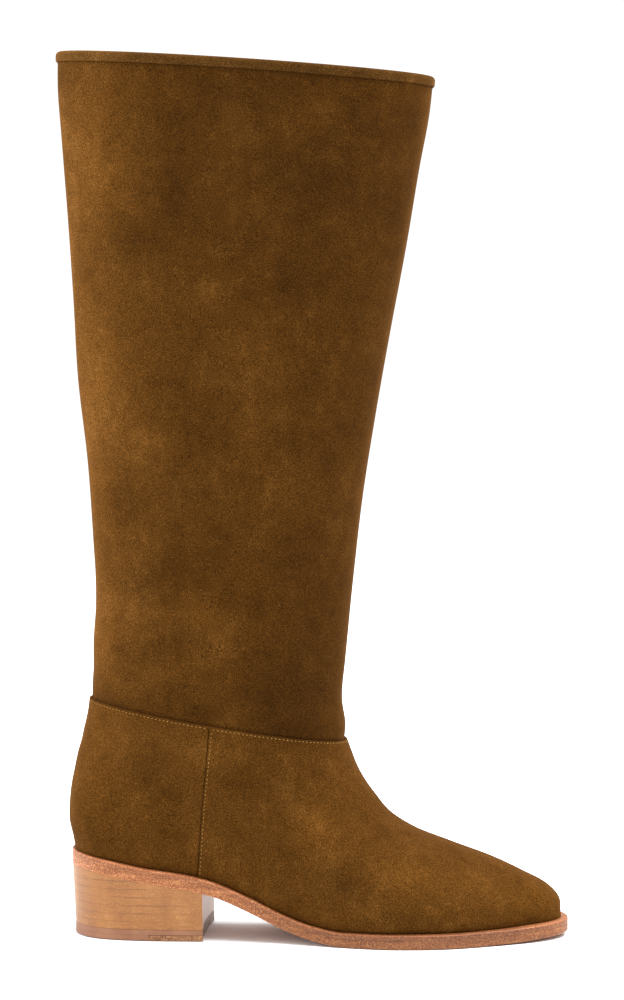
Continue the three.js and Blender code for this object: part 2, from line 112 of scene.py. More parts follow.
# Height of the sole's underside: share of the length, of HEEL_HEIGHT, of TOE_SPRING
UNDERSIDE = [
    (0, 1, 0),
    (0.07, 0.925, 0),
    (0.15, 0.82, 0),
    (0.25, 0.712, 0),
    (0.3, 0.62, 0),
    (0.37, 0.42, 0),
    (0.44, 0.19, 0),
    (0.5, 0.06, 0),
    (0.56, 0, 0),
    (0.78, 0, 0),
    (0.88, 0, 0.2),
    (1, 0, 1),
]

# Levels from the welt to the ankle seam: backUp, frontUp, bulge, lean, recess, heelSwell, toeSwell,
# oval, width, sole, swing
FOOT_LEVELS = [
    (0, 0, 0, 0, 0, 0, 0, 0, 0.9, 1, 1),
    (0.085, 0.043, 0.41, 0, 0.002, 0.09, 0.05, 0, 0.9, 0.98, 1),
    (0.185, 0.101, 1, 0, 0.008, 0.15, 0.06, 0.02, 0.9, 0.93, 1),
    (0.295, 0.166, 1, 0, 0.06, 0.17, 0.05, 0.1, 0.9, 0.85, 1),
    (0.41, 0.223, 0.705, 0, 0.15, 0.17, 0.02, 0.28, 0.91, 0.74, 1),
    (0.52, 0.302, 0.135, 0, 0.29, 0.16, 0, 0.52, 0.92, 0.6, 1),
    (0.63, 0.388, 0, 0.185, 0.489, 0.15, 0, 0.75, 0.93, 0.45, 0.95),
    (0.72, 0.468, 0, 0.45, 0.661, 0.15, 0, 0.9, 0.945, 0.3, 0.8),
    (0.78, 0.562, 0, 0.58, 0.785, 0.15, 0, 0.96, 0.955, 0.22, 0.65),
    (0.85, 0.68, 0, 0.753, 0.866, 0.15, 0, 1, 0.97, 0.14, 0.45),
    (0.925, 0.835, 0, 0.906, 0.946, 0.15, 0, 1, 0.985, 0.05, 0.2),
    (1, 1, 0, 1, 1, 0.15, 0, 1, 1, 0, 0),
]

# Levels of the shaft: up, back, front, width
SHAFT_LEVELS = [
    (0.022, -0.006, 0.014, 0),
    (0.06, -0.025, -0.024, 0),
    (0.12, -0.087, 0.012, 0.04),
    (0.18, -0.125, 0.052, 0.1),
    (0.25, -0.05, 0.105, 0.2),
    (0.37, 0.113, 0.208, 0.45),
    (0.5, 0.41, 0.36, 0.7),
    (0.62, 0.54, 0.518, 0.9),
    (0.75, 0.71, 0.7, 1.04),
    (0.87, 0.893, 0.85, 1.06),
    (0.95, 1.006, 0.96, 1.03),
    (1, 1, 1, 1),
]

ANKLE = len(FOOT_LEVELS) - 1
COLLAR = ANKLE + len(SHAFT_LEVELS)


def lerp(a, b, t):
    return a + (b - a) * t


def unit(vectors):
    return vectors / np.linalg.norm(vectors, axis=-1, keepdims=True)


def smoothstep(x, low, high):
    s = np.clip((x - low) / (high - low), 0, 1)
    return s * s * (3 - 2 * s)


def hermite(xs, ys, at):
    """A smooth curve through points, with no overshoot, read at an array of places."""
    xs, ys, at = np.asarray(xs, float), np.asarray(ys, float), np.asarray(at, float)
    slopes = np.diff(ys) / np.diff(xs)
    tangents = np.empty_like(ys)
    tangents[0], tangents[-1] = slopes[0], slopes[-1]
    before, after = slopes[:-1], slopes[1:]
    total = np.where(before + after == 0, 1, before + after)
    tangents[1:-1] = np.where(before * after <= 0, 0, 2 * before * after / total)
    k = np.clip(np.searchsorted(xs, at, side="left") - 1, 0, len(xs) - 2)
    span = xs[k + 1] - xs[k]
    s = np.clip((at - xs[k]) / span, 0, 1)
    ends = lerp(ys[k], ys[k + 1], s * s * (3 - 2 * s))
    return ends + span * s * (1 - s) * ((1 - s) * tangents[k] - s * tangents[k + 1])


def share_at(angle):
    return (1 - np.cos(angle)) / 2


def angle_at(share):
    return np.arccos(1 - 2 * np.asarray(share, float))


def side_of(angle):
    return np.where(angle < np.pi, -1.0, 1.0)


def sole_half_width(at, side, inset):
    """The sole's half width at shares of its length, drawn in by an inset."""
    places = np.array([0] + [row[0] for row in OUTLINE] + [1])
    inner = 2 * np.sqrt(places[1:-1] * (1 - places[1:-1]))
    first = math.sqrt((HEEL_END_RADIUS - inset) * (SOLE_LENGTH - 2 * inset) / 2)
    widths = []
    for column, radius in ((1, TOE_END_RADIUS), (2, TOE_END_INNER_RADIUS)):
        last = math.sqrt((radius - inset) * (SOLE_LENGTH - 2 * inset) / 2)
        middle = (np.array([row[column] for row in OUTLINE]) * BALL_WIDTH - inset) / inner
        full = np.concatenate([[first], middle, [last]])
        widths.append(hermite(places, full, at))
    roundness = 2 * np.sqrt(np.clip(at * (1 - at), 0, None))
    return np.where(side < 0, widths[0], widths[1]) * roundness


def centreline(at):
    return TOE_SWING * smoothstep(at, TOE_SWING_START, 1)


def sole_underside(x):
    at = np.clip(np.asarray(x, float) / SOLE_LENGTH, 0, 1)
    places = [row[0] for row in UNDERSIDE]
    heel = hermite(places, [row[1] for row in UNDERSIDE], at)
    toe = hermite(places, [row[2] for row in UNDERSIDE], at)
    return HEEL_HEIGHT * heel + TOE_SPRING * toe


def outsole_top(x):
    return sole_underside(x) + OUTSOLE_THICKNESS


def welt_top(x):
    return outsole_top(x) + GAP + WELT_THICKNESS


def feather_line(x):
    return welt_top(x) + GAP


SEAT_BACK = (FEATHER_INSET - HEEL_TUCK, float(feather_line(FEATHER_INSET - HEEL_TUCK)))
SEAT_FRONT = (SOLE_LENGTH - FEATHER_INSET, float(feather_line(SOLE_LENGTH - FEATHER_INSET)))
ANKLE_BACK = (SEAT_BACK[0] + ANKLE_INSET, SEAT_BACK[1] + ANKLE_RISE)
ANKLE_FRONT = (ANKLE_BACK[0] + ANKLE_LENGTH, ANKLE_BACK[1] - ANKLE_SEAM_DROP)
COLLAR_BACK = (ANKLE_BACK[0] - COLLAR_OVERHANG, ANKLE_BACK[1] + SHAFT_HEIGHT)
COLLAR_FRONT = (COLLAR_BACK[0] + COLLAR_LENGTH, COLLAR_BACK[1] - COLLAR_DROP)


def column_angle(c, seam_angle):
    """The angle of a column: 0 back, 1 outer side seam, 2 front, 3 inner side seam, 4 back again."""
    half = np.where(c <= 2, c, 4 - c)
    angle = np.where(half <= 1, seam_angle * half, lerp(seam_angle, np.pi, half - 1))
    return np.where(c <= 2, angle, 2 * np.pi - angle)


def foot_level(row, c):
    back_up, front_up, bulge, lean, recess, heel_swell, toe_swell, oval, width, sole, swing = row
    back_x = SEAT_BACK[0] - COUNTER_BULGE * bulge + ANKLE_INSET * lean
    back_z = lerp(SEAT_BACK[1], ANKLE_BACK[1], back_up)
    front_x = lerp(SEAT_FRONT[0], ANKLE_FRONT[0], recess)
    front_z = lerp(SEAT_FRONT[1], ANKLE_FRONT[1], front_up)
    seam_x = lerp(SIDE_SEAM_AT_SOLE, SIDE_SEAM_AT_ANKLE, (back_up + front_up) / 2)
    angle = column_angle(c, angle_at((seam_x - back_x) / (front_x - back_x)))
    at = share_at(angle)
    side = side_of(angle)
    foot = sole_half_width(at, side, FEATHER_INSET) * (1 + lerp(heel_swell, toe_swell, at))
    round_leg = (ANKLE_WIDTH / 2) * width * np.abs(np.sin(angle)) ** ANKLE_FULLNESS
    line = feather_line(lerp(SEAT_BACK[0], SEAT_FRONT[0], at)) - lerp(SEAT_BACK[1], SEAT_FRONT[1], at)
    crown = ANKLE_SEAM_CROWN * np.sin(angle) ** 2
    x = lerp(back_x, front_x, at)
    y = centreline(at) * swing + side * lerp(foot, round_leg, oval)
    z = lerp(back_z, front_z, at) + sole * line + (1 - sole) * crown
    return np.stack([x, y, z], -1)


def shaft_level(row, c):
    up, back, front, width = row
    back_x = lerp(ANKLE_BACK[0], COLLAR_BACK[0], back)
    front_x = lerp(ANKLE_FRONT[0], COLLAR_FRONT[0], front)
    half_width = lerp(ANKLE_WIDTH, COLLAR_WIDTH, width) / 2
    fullness = lerp(ANKLE_FULLNESS, COLLAR_FULLNESS, up)
    back_z = lerp(ANKLE_BACK[1], COLLAR_BACK[1], up)
    front_z = lerp(ANKLE_FRONT[1], COLLAR_FRONT[1], up)
    angle = column_angle(c, angle_at((SIDE_SEAM_AT_ANKLE - ANKLE_BACK[0]) / ANKLE_LENGTH))
    at = share_at(angle)
    x = lerp(back_x, front_x, at)
    y = side_of(angle) * half_width * np.abs(np.sin(angle)) ** fullness
    bow = COLLAR_CROWN * up + ANKLE_SEAM_CROWN * (1 - up)
    z = lerp(back_z, front_z, at) + bow * np.sin(angle) ** 2
    return np.stack([x, y, z], -1)


def all_levels(c):
    rows = [foot_level(row, c) for row in FOOT_LEVELS]
    rows += [shaft_level(row, c) for row in SHAFT_LEVELS]
    return np.stack(rows)


def level_spacing():
    """Mean distances along the upper from the welt to each level."""
    probe = all_levels(np.linspace(0, 4, 33)[:-1])
    steps = np.linalg.norm(np.diff(probe, axis=0), axis=-1).mean(-1)
    return np.concatenate([[0], np.cumsum(steps)])


SPACING = level_spacing()


def smooth_surface(t, c):
    """Points of the upper's outer surface at levels t and columns c, both arrays of one shape."""
    knots = all_levels(c)
    spans = np.diff(SPACING)[:, None, None, None]
    slopes = np.diff(knots, axis=0) / spans
    tangents = np.empty_like(knots)
    tangents[0], tangents[-1] = slopes[0], slopes[-1]
    before, after = spans[:-1], spans[1:]
    tangents[1:-1] = (slopes[:-1] * after + slopes[1:] * before) / (before + after)
    k = np.clip(np.floor(t).astype(int), 0, COLLAR - 1)
    s = (t - k)[..., None]
    span = np.diff(SPACING)[k][..., None]
    i, j = np.indices(t.shape)
    p0, p1 = knots[k, i, j], knots[k + 1, i, j]
    start, end = tangents[k, i, j], tangents[k + 1, i, j]
    start = np.where((k == ANKLE)[..., None], slopes[ANKLE, i, j], start)
    end = np.where((k == ANKLE - 1)[..., None], slopes[ANKLE - 1, i, j], end)
    m0, m1 = start * span, end * span
    s2, s3 = s * s, s * s * s
    return (2 * s3 - 3 * s2 + 1) * p0 + (s3 - 2 * s2 + s) * m0 + (3 * s2 - 2 * s3) * p1 + (s3 - s2) * m1


def surface_normals(t, c):
    """Outward directions of that surface, level at the welt and the collar."""
    step_t, step_c, level_reach = 0.02, 0.004, 0.5
    higher = smooth_surface(np.clip(t + step_t, 0, COLLAR), c)
    lower = smooth_surface(np.clip(t - step_t, 0, COLLAR), c)
    along = smooth_surface(t, np.mod(c + step_c, 4)) - smooth_surface(t, np.mod(c - step_c, 4))
    normal = unit(np.cross(along, higher - lower))
    normal[..., 2:] *= np.clip(np.minimum(t, COLLAR - t) / level_reach, 0, 1)[..., None]
    return unit(normal)


# Soft troughs and ridges of the upper, placed in millimetres: middle x, middle z, half length,
# half width, tilt in degrees, depth (a ridge is negative), side (-1 outer, 1 inner)
CREASES = [
    (22, 142, 34, 7, -12, 0.55, -1),
    (30, 158, 30, 8, -8, -0.4, -1),
    (20, 176, 26, 8, 6, 0.45, -1),
    (118, 140, 26, 8, 14, 0.5, -1),
    (124, 160, 22, 9, 20, -0.35, -1),
    (12, 430, 5, 26, 0, 0.5, -1),
    (34, 330, 14, 60, 0, -0.7, -1),
    (120, 300, 20, 70, 0, 0.5, -1),
    (24, 146, 32, 7, 12, 0.5, 1),
    (34, 168, 30, 9, 6, 0.4, 1),
    (120, 146, 26, 8, -12, 0.45, 1),
    (60, 320, 24, 70, 0, 0.6, 1),
    (150, 84, 16, 5, -40, 0.5, -1),
    (160, 74, 16, 5, -34, -0.4, -1),
    (152, 84, 16, 5, -40, 0.5, 1),
]
SIDE_FADE = (-12, 14)  # where a crease fades in, across the boot towards its own side


def soft_spot(dx, dz, half_length, half_width, tilt):
    """1 at a spot's middle, falling off smoothly along its tilted length and width."""
    turn = math.radians(tilt)
    u = (dx * math.cos(turn) + dz * math.sin(turn)) / half_length
    v = (dz * math.cos(turn) - dx * math.sin(turn)) / half_width
    return np.exp(-u * u - v * v)


def crease_depth(points):
    depth = np.zeros(points.shape[:-1])
    for x, z, half_length, half_width, tilt, deep, side in CREASES:
        near = smoothstep(points[..., 1] * side, *SIDE_FADE)
        spot = soft_spot(points[..., 0] - x, points[..., 2] - z, half_length, half_width, tilt)
        depth += deep * near * spot
    return depth


# Brushed clouds in the suede's nap, and painted light and shade: the back of the shaft painted lighter
# where light falls on it, its front painted darker, a painted highlight on the toe and painted shade in a
# small dent under the collar at the back. In millimetres: middle x, middle z, half length, half width, tilt
# in degrees, and how much lighter it is painted there, in doublings (darker is negative)
NAP_AND_PAINTED_LIGHT = [
    # Painted shade in a small dent under the collar at the back
    (-4, 455, 3.5, 9, 0, -0.6),
    # Painted light: the back of the shaft lighter where light falls on it
    (-8, 400, 46, 120, 0, 0.85),
    (0, 220, 42, 110, 0, 1.05),
    # Painted shade: the front of the shaft darker
    (130, 420, 70, 60, 0, -0.35),
    (150, 300, 34, 130, 8, -0.25),
    (125, 150, 26, 60, 0, -0.25),
    # Painted highlight along the top of the toe
    (250, 26, 14, 16, 0, 0.25),
    # Smaller clouds: patches in the nap, and painted light and shade on soft dents
    (17, 420, 15, 40, 0, 0.4),
    (31, 404, 18, 12, -30, 0.3),
    (50, 450, 14, 8, 0, 0.2),
    (37, 369, 16, 10, 10, -0.45),
    (19, 300, 12, 28, 0, 0.4),
    (47, 265, 13, 9, 0, 0.3),
    (31, 233, 8, 14, 0, -0.3),
    (45, 192, 13, 8, 12, -0.4),
    (74, 175, 19, 11, -20, 0.45),
    (39, 173, 8, 10, 0, 0.3),
    (18, 164, 10, 26, 0, 0.45),
    (54, 160, 9, 6, 0, -0.25),
    (54, 143, 28, 6, 18, 0.3),
    (26, 128, 16, 5, -12, -0.35),
    (69, 124, 12, 7, -8, -0.3),
    (120, 132, 24, 22, 0, -0.5),
    (122, 112, 18, 7, -10, -0.35),
    (100, 314, 18, 11, 0, 0.3),
    (100, 277, 9, 17, 0, 0.3),
    (80, 272, 10, 12, 0, -0.25),
    (120, 264, 10, 9, 0, -0.25),
    (133, 436, 22, 10, 25, 0.35),
    (96, 447, 20, 11, 0, -0.25),
    (62, 397, 9, 22, 0, -0.3),
    (87, 420, 11, 9, 0, 0.2),
    (133, 402, 16, 12, 0, -0.25),
    (174, 425, 12, 18, 0, -0.25),
    (158, 410, 6, 10, 0, 0.2),
    (96, 370, 14, 9, 0, -0.25),
    (123, 344, 14, 11, 0, -0.25),
    (77, 341, 12, 9, 0, 0.25),
    (117, 243, 14, 12, 0, 0.2),
    (134, 196, 12, 30, 0, -0.25),
    (171, 394, 10, 16, 0, -0.2),
    (45, 92, 9, 8, 0, -0.4),
    (23, 106, 14, 7, 0, 0.2),
    (56, 58, 12, 8, 0, -0.2),
    (134, 64, 14, 9, 60, 0.4),
    (107, 83, 18, 12, 0, -0.3),
    (147, 33, 14, 7, 0, -0.45),
    (184, 36, 14, 6, -10, 0.45),
    (185, 15, 16, 4, 0, -0.3),
    (217, 30, 12, 6, -20, 0.2),
]
NAP_SHIFT = (-24, 31)  # how far the clouds are moved on the inner side, along x and z
NAP_FADE = 10  # how far either side of the middle that move fades in


def nap_and_painted_light(points):
    """How much lighter the upper is painted at its points, in doublings: the nap's brushed clouds and
    painted light and shade.
    """
    inner = smoothstep(points[..., 1], -NAP_FADE, NAP_FADE)
    x = points[..., 0] + NAP_SHIFT[0] * inner
    z = points[..., 2] + NAP_SHIFT[1] * inner
    tone = np.zeros(points.shape[:-1])
    for middle_x, middle_z, half_length, half_width, tilt, lighter in NAP_AND_PAINTED_LIGHT:
        tone += lighter * soft_spot(x - middle_x, z - middle_z, half_length, half_width, tilt)
    return tone


def to_frame(points):
    moved = np.array(points, float)
    moved[..., 0] += BACK_X
    return moved * MM


def make_mesh(name, rows, faces, materials, sharp=40, face_material=None, tone=None):
    """A smooth-shaded object from points in millimetres and faces of vertex numbers.

    The tone, in doublings, lightens the material at each point; it holds the material's own tone and
    painted light and shade.
    """
    mesh = bpy.data.meshes.new(name)
    points = to_frame(np.asarray(rows, float).reshape(-1, 3))
    mesh.from_pydata(points.tolist(), [], faces)
    for material in materials:
        mesh.materials.append(material)
    if face_material is not None:
        mesh.polygons.foreach_set("material_index", face_material)
    if tone is not None:
        mesh.attributes.new("tone", "FLOAT", "POINT").data.foreach_set("value", np.ravel(tone))
    mesh.polygons.foreach_set("use_smooth", [True] * len(mesh.polygons))
    mesh.set_sharp_from_angle(angle=math.radians(sharp))
    mesh.validate()
    mesh.update()
    piece = bpy.data.objects.new(name, mesh)
    bpy.context.scene.collection.objects.link(piece)
    return piece


def quads(rows, columns, close_rows, close_columns):
    """Faces between rows of points. The rows run up the outside, so the faces look out."""
    faces = []
    for r in range(rows if close_rows else rows - 1):
        below, above = r * columns, ((r + 1) % rows) * columns
        for c in range(columns if close_columns else columns - 1):
            d = (c + 1) % columns
            faces.append((below + c, below + d, above + d, above + c))
    return faces


def ring(name, outside, inside, materials, sharp=40, inside_material=0, tone=None):
    """A closed band: rows of points go up the outside and down the inside."""
    rows = np.concatenate([outside, inside[::-1]])
    count, columns = rows.shape[:2]
    faces = quads(count, columns, True, True)
    index = [0 if face // columns < len(outside) else inside_material for face in range(len(faces))]
    return make_mesh(name, rows, faces, materials, sharp, index, tone)


def panel(name, outside, inside, materials, sharp=50, tone=None):
    """A closed patch of shell, with its two side edges filled."""
    rows = np.concatenate([outside, inside[::-1]])
    count, columns = rows.shape[:2]
    faces = quads(count, columns, True, False)
    n = len(outside)
    for r in range(n - 1):
        out0, out1 = r * columns, (r + 1) * columns
        in0, in1 = (count - 1 - r) * columns, (count - 2 - r) * columns
        faces.append((in0, out0, out1, in1))
        faces.append((out0 + columns - 1, in0 + columns - 1, in1 + columns - 1, out1 + columns - 1))
    return make_mesh(name, rows, faces, materials, sharp, tone=tone)


def stack(name, loops, materials, sharp=40, side_material=(), tone=None, straight=None):
    """A solid of loops stacked from the bottom up, whose point i faces point n - i across the boot.

    Strips across the boot close its ends between the straight points. Beyond them one face does, so
    that a front can be hollow or flat.
    """
    rows = np.asarray(loops)
    count, n = rows.shape[:2]
    half = n // 2
    first, last = straight or (0, half)
    ends = [[k % n for k in range(-first, first + 1)]] if first else []
    for i in range(first, last):
        ends.append(list(dict.fromkeys([i, i + 1, (n - i - 1) % n, (n - i) % n])))
    if last < half:
        ends.append(list(range(last, n - last + 1)))
    faces = quads(count, n, False, True)
    index = list(side_material) or [0] * len(faces)
    for end in ends:
        faces.append(tuple(reversed(end)))
        faces.append(tuple((count - 1) * n + k for k in end))
        index += [0, 0]
    return make_mesh(name, rows, faces, materials, sharp, index, tone)


SOLE_COLUMNS = 320


def sole_loop(inset, height_at):
    """A loop round the sole's outline, drawn in by an inset, at a height that follows x.

    Behind the heel, what the upper's edge sits on is drawn in less.
    """
    back = inset - HEEL_TUCK if inset > WELT_MARGIN / 2 else inset
    angle = np.arange(SOLE_COLUMNS) * 2 * np.pi / SOLE_COLUMNS
    at = share_at(angle)
    side = side_of(angle)
    x = lerp(back, SOLE_LENGTH - inset, at)
    y = centreline(at) + side * sole_half_width(at, side, inset)
    return np.stack([x, y, height_at(x)], -1)


ROUND_STEPS = 4


def rounded(loop_at, inset, bottom, top, low_round, high_round, between=()):
    """Loops up a side wall whose lower and upper edges are quarter rounds.

    Between them it can have more loops, at shares of its height.
    """
    loops = []
    turns = np.linspace(0, math.pi / 2, ROUND_STEPS + 1)
    for a in turns:
        loops.append(loop_at(inset + low_round * (1 - math.sin(a)), bottom, low_round * (1 - math.cos(a))))
    for share in between:
        loops.append(loop_at(inset, lambda x, s=share: lerp(bottom(x), top(x), s), 0))
    for a in turns:
        loops.append(loop_at(inset + high_round * (1 - math.cos(a)), top, -high_round * (1 - math.sin(a))))
    return loops


# Materials. Noise scales are in features a metre, and bump distances in metres.

# What one step of tone multiplies red, green and blue by
TONE_DOUBLINGS = {"X": 2.0, "Y": 2.1, "Z": 2.7}


class Shader:
    """A short way to build one material's nodes."""

    def __init__(self, name, roughness, specular=0.5):
        self.material = bpy.data.materials.new(name)
        self.material.use_nodes = True
        self.tree = self.material.node_tree
        self.surface = self.tree.nodes["Principled BSDF"]
        self.surface.inputs["Roughness"].default_value = roughness
        self.surface.inputs["Specular IOR Level"].default_value = specular
        self.place = self.node("ShaderNodeTexCoord").outputs["Object"]

    def node(self, kind, **values):
        made = self.tree.nodes.new(kind)
        for key, value in values.items():
            setattr(made, key, value)
        return made

    def link(self, source, target):
        self.tree.links.new(source, target)

    def stretched(self, x, y, z):
        mapping = self.node("ShaderNodeMapping")
        mapping.inputs["Scale"].default_value = (x, y, z)
        self.link(self.place, mapping.inputs["Vector"])
        return mapping.outputs["Vector"]

    def noise(self, scale, detail=2.0, roughness=0.5, distortion=0.0, place=None):
        made = self.node("ShaderNodeTexNoise")
        made.inputs["Scale"].default_value = scale
        made.inputs["Detail"].default_value = detail
        made.inputs["Roughness"].default_value = roughness
        made.inputs["Distortion"].default_value = distortion
        self.link(place or self.place, made.inputs["Vector"])
        return made.outputs["Fac"]

    def ramp(self, value, *stops):
        made = self.node("ShaderNodeValToRGB")
        made.color_ramp.interpolation = "EASE"
        elements = made.color_ramp.elements
        elements[0].position, elements[0].color = stops[0][0], (*stops[0][1], 1)
        elements[1].position, elements[1].color = stops[-1][0], (*stops[-1][1], 1)
        for position, colour in stops[1:-1]:
            elements.new(position).color = (*colour, 1)
        self.link(value, made.inputs["Fac"])
        return made.outputs["Color"]

    def spread(self, value, low, high, to_low=0.0, to_high=1.0):
        made = self.node("ShaderNodeMapRange")
        for key, number in (("From Min", low), ("From Max", high), ("To Min", to_low), ("To Max", to_high)):
            made.inputs[key].default_value = number
        self.link(value, made.inputs["Value"])
        return made.outputs["Result"]

    def math(self, operation, a, b):
        made = self.node("ShaderNodeMath", operation=operation)
        for socket, value in zip(made.inputs, (a, b)):
            if isinstance(value, (int, float)):
                socket.default_value = value
            else:
                self.link(value, socket)
        return made.outputs["Value"]

    def mix(self, factor, a, b, blend="MIX"):
        made = self.node("ShaderNodeMix", data_type="RGBA", blend_type=blend)
        for name, value in (("Factor", factor), ("A", a), ("B", b)):
            socket = [s for s in made.inputs if s.name == name and s.enabled][0]
            if isinstance(value, (int, float)):
                socket.default_value = value
            elif isinstance(value, tuple):
                socket.default_value = (*value, 1)
            else:
                self.link(value, socket)
        return [s for s in made.outputs if s.enabled][0]

    def bump(self, height, distance, strength=1.0):
        made = self.node("ShaderNodeBump")
        made.inputs["Distance"].default_value = distance
        made.inputs["Strength"].default_value = strength
        self.link(height, made.inputs["Height"])
        earlier = self.surface.inputs["Normal"].links
        if earlier:
            self.link(earlier[0].from_socket, made.inputs["Normal"])
        self.link(made.outputs["Normal"], self.surface.inputs["Normal"])

    def colour(self, output):
        """The base colour, lightened and paled by the mesh's own tone, partly painted light and shade."""
        reader = self.node("ShaderNodeAttribute", attribute_name="tone")
        lighter = self.node("ShaderNodeCombineXYZ")
        for channel, doubling in TONE_DOUBLINGS.items():
            self.link(self.math("POWER", doubling, reader.outputs["Fac"]), lighter.inputs[channel])
        paled = self.mix(1.0, output, lighter.outputs["Vector"], blend="MULTIPLY")
        self.link(paled, self.surface.inputs["Base Color"])


def srgb(red, green, blue):
    """A colour seen on a screen, 0 to 255, as the linear values that a shader needs."""
    def linear(v):
        v /= 255
        return v / 12.92 if v <= 0.04045 else ((v + 0.055) / 1.055) ** 2.4
    return (linear(red), linear(green), linear(blue))


def suede(name, dark, middle, light, sheen):
    """Napped suede: soft brushed clouds, a fine speckle, a deep matt bump and a warm sheen."""
    s = Shader(name, 0.95, specular=0.04)
    clouds = s.noise(34, detail=6, roughness=0.6, distortion=0.25, place=s.stretched(1.0, 1.0, 0.7))
    spots = s.noise(120, detail=3, roughness=0.55)
    fine = s.math("ADD", s.math("MULTIPLY", clouds, 0.6), s.math("MULTIPLY", spots, 0.4))
    brushed = s.ramp(fine, (0.36, dark), (0.5, middle), (0.64, light))
    speckle = s.noise(1900, detail=2, roughness=0.6)
    flecks = s.ramp(speckle, (0.3, (0.32, 0.33, 0.2)), (0.5, (1.0, 1.0, 1.0)), (0.7, (2.0, 2.12, 3.2)))
    s.colour(s.mix(1.0, brushed, flecks, blend="MULTIPLY"))
    fibres = s.math("ADD", s.noise(2200, detail=2, roughness=0.7), s.math("MULTIPLY", clouds, 0.6))
    s.bump(fibres, 0.0002, 0.7)
    s.surface.inputs["Sheen Weight"].default_value = sheen
    s.surface.inputs["Sheen Roughness"].default_value = 0.4
    s.surface.inputs["Sheen Tint"].default_value = (*srgb(196, 132, 58), 1)
    return s.material


def cut_leather(name, dark, middle, light, roughness, speckle_scale=1500):
    """The burnished edge of leather: level streaks and fine pale and dark pores."""
    s = Shader(name, roughness, specular=0.35)
    pores = s.noise(speckle_scale, detail=2, roughness=0.7)
    streaks = s.noise(60, detail=4, roughness=0.6, place=s.stretched(0.5, 0.5, 6))
    field = s.math("ADD", s.math("MULTIPLY", pores, 0.75), s.math("MULTIPLY", streaks, 0.25))
    s.colour(s.ramp(field, (0.36, dark), (0.5, middle), (0.64, light)))
    s.bump(pores, 0.0001, 0.5)
    s.surface.inputs["Coat Weight"].default_value = 0.04
    s.surface.inputs["Coat Roughness"].default_value = 0.45
    return s.material


def smooth_leather(name, dark, light, roughness, grain=0.4):
    """Smooth leather with a fine grain."""
    s = Shader(name, roughness, specular=0.35)
    s.colour(s.ramp(s.noise(45, detail=4, roughness=0.6), (0.35, dark), (0.65, light)))
    if grain:
        s.bump(s.noise(900, detail=3, roughness=0.6), 0.00012, grain)
    return s.material


STACK_LAYER = 4.33  # thickness of one layer of the heel, in millimetres


def heel_wood(name):
    """A stacked heel: thin soft brown joints between its layers, faint upright figure and pale flecks."""
    s = Shader(name, 0.45, specular=0.4)
    figure = s.noise(1.0, detail=3, roughness=0.6, place=s.stretched(90, 90, 30))
    grain = s.noise(1.0, detail=3, roughness=0.7, place=s.stretched(160, 160, 1300))
    field = s.math("ADD", s.math("MULTIPLY", figure, 0.5), s.math("MULTIPLY", grain, 0.5))
    base = s.ramp(field, (0.36, srgb(132, 82, 32)), (0.5, srgb(143, 91, 38)), (0.64, srgb(154, 102, 48)))
    speckle = s.noise(1500, detail=1)
    flecks = s.ramp(speckle, (0.4, (0.9, 0.9, 0.9)), (0.58, (1.0, 1.0, 1.0)), (0.72, (1.35, 1.38, 1.42)))
    wood = s.mix(1.0, base, flecks, blend="MULTIPLY")
    height = s.node("ShaderNodeSeparateXYZ")
    s.link(s.place, height.inputs["Vector"])
    wobble = s.math("MULTIPLY", s.noise(40, detail=2), 0.0006)
    raised = s.math("ADD", height.outputs["Z"], wobble)
    layer = s.math("DIVIDE", s.math("SUBTRACT", raised, (LIFT_THICKNESS + GAP) * MM), STACK_LAYER * MM)
    joint = s.spread(s.math("PINGPONG", layer, 0.5), 0.11, 0.02)
    broken = s.noise(1.0, detail=2, roughness=0.6, place=s.stretched(50, 50, 120))
    weight = s.math("MULTIPLY", joint, s.spread(broken, 0.4, 0.62, 0.15, 0.75))
    s.colour(s.mix(weight, wood, srgb(104, 58, 22)))
    s.bump(grain, 0.00008, 0.3)
    s.surface.inputs["Coat Weight"].default_value = 0.15
    s.surface.inputs["Coat Roughness"].default_value = 0.35
    return s.material


def plain_rubber(name):
    s = Shader(name, 0.55, specular=0.4)
    s.colour(s.ramp(s.noise(90, detail=3), (0.35, srgb(128, 84, 58)), (0.65, srgb(138, 94, 66))))
    s.bump(s.noise(1600, detail=2), 0.00006, 0.4)
    return s.material


def thread(name, light):
    s = Shader(name, 0.9, specular=0.0)
    dark = tuple(v * 0.7 for v in light)
    s.colour(s.ramp(s.noise(1200, detail=2), (0.35, dark), (0.65, light)))
    return s.material


SUEDE = suede("suede", srgb(55, 31, 4), srgb(62, 36, 6), srgb(71, 43, 10), 0.2)
BAND_SUEDE = suede("band_suede", srgb(60, 37, 10), srgb(68, 43, 13), srgb(80, 52, 19), 0.24)
LINING = smooth_leather("lining", srgb(176, 130, 84), srgb(198, 154, 106), 0.6)
SOLE_EDGE = cut_leather("sole_edge", srgb(78, 38, 14), srgb(118, 67, 31), srgb(162, 108, 62), 0.55)
WELT_EDGE = cut_leather("welt_edge", srgb(80, 38, 14), srgb(117, 66, 31), srgb(156, 104, 62), 0.55)
SOCK = smooth_leather("sock", srgb(170, 124, 82), srgb(190, 146, 102), 0.6)
HEEL = heel_wood("heel_wood")
